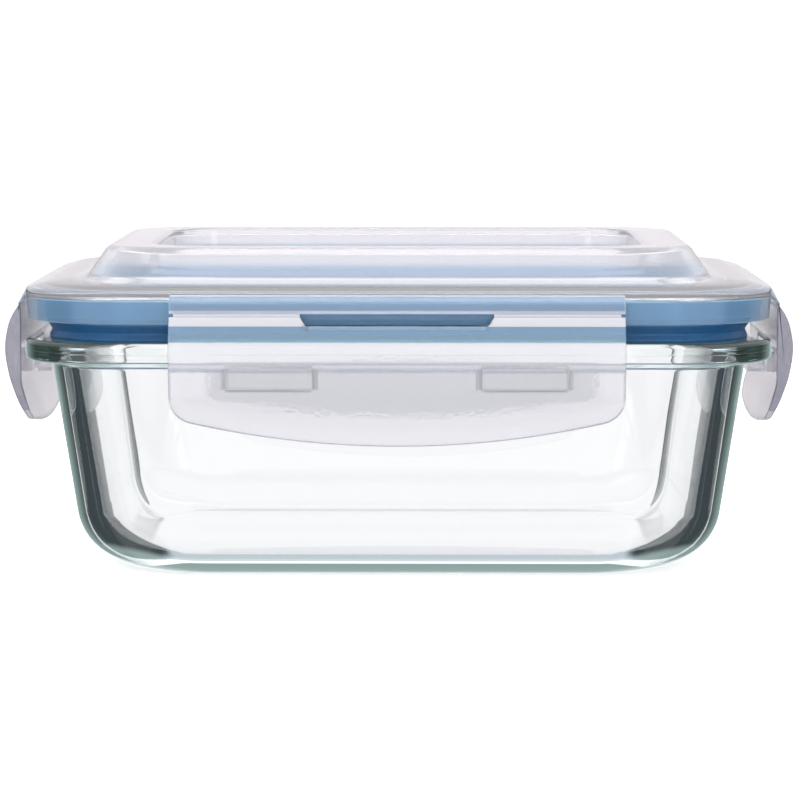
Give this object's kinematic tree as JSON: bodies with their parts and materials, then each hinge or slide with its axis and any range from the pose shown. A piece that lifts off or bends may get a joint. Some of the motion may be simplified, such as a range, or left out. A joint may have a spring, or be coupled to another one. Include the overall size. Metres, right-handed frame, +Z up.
{
  "type": "glass storage container",
  "caption": "Rectangular clear glass storage container with a frosted snap lid, a sealing gasket and hinged latches on every side.",
  "frame": {"origin": "centre of the tray's underside, on the surface it rests on", "axes": "+Z up; X along the long side; the front, with a wide latch, faces -Y"},
  "size_m": [0.193, 0.145, 0.0795],
  "materials": {
    "clear_glass": "clear pressed glass, faint green tint in its thick edges",
    "frosted_polypropylene": "translucent frosted polypropylene",
    "blue_silicone": "satin deep-blue silicone"
  },
  "bodies": {
    "tray": {"glass_tray": "clear_glass"},
    "lid": {"lid_panel": "frosted_polypropylene", "silicone_gasket": "blue_silicone", "front_living_hinge": "frosted_polypropylene", "back_living_hinge": "frosted_polypropylene", "left_living_hinge": "frosted_polypropylene", "right_living_hinge": "frosted_polypropylene"},
    "front_latch_body": {"front_latch": "frosted_polypropylene"},
    "back_latch_body": {"back_latch": "frosted_polypropylene"},
    "left_latch_body": {"left_latch": "frosted_polypropylene"},
    "right_latch_body": {"right_latch": "frosted_polypropylene"}
  },
  "joints": [
    {"name": "lid_lift", "type": "slide", "parent": "tray", "child": "lid", "axis": [0, 0, 1], "range_m": [0, 0.02]},
    {"name": "front_latch_hinge", "type": "hinge", "parent": "lid", "child": "front_latch_body", "pos_m": [0, -0.0691, 0.06485], "axis": [-1, 0, 0], "range_deg": [0, 170], "deforming": ["front_living_hinge"]},
    {"name": "back_latch_hinge", "type": "hinge", "parent": "lid", "child": "back_latch_body", "pos_m": [0, 0.0691, 0.06485], "axis": [1, 0, 0], "range_deg": [0, 170], "deforming": ["back_living_hinge"]},
    {"name": "left_latch_hinge", "type": "hinge", "parent": "lid", "child": "left_latch_body", "pos_m": [-0.0931, 0, 0.06485], "axis": [0, 1, 0], "range_deg": [0, 170], "deforming": ["left_living_hinge"]},
    {"name": "right_latch_hinge", "type": "hinge", "parent": "lid", "child": "right_latch_body", "pos_m": [0.0931, 0, 0.06485], "axis": [0, -1, 0], "range_deg": [0, 170], "deforming": ["right_living_hinge"]}
  ],
  "couplings": [
    {"joint": "front_latch_hinge", "follows": "lid_lift", "rad_per_m": 148.35},
    {"joint": "back_latch_hinge", "follows": "lid_lift", "rad_per_m": 148.35},
    {"joint": "left_latch_hinge", "follows": "lid_lift", "rad_per_m": 148.35},
    {"joint": "right_latch_hinge", "follows": "lid_lift", "rad_per_m": 148.35}
  ]
}
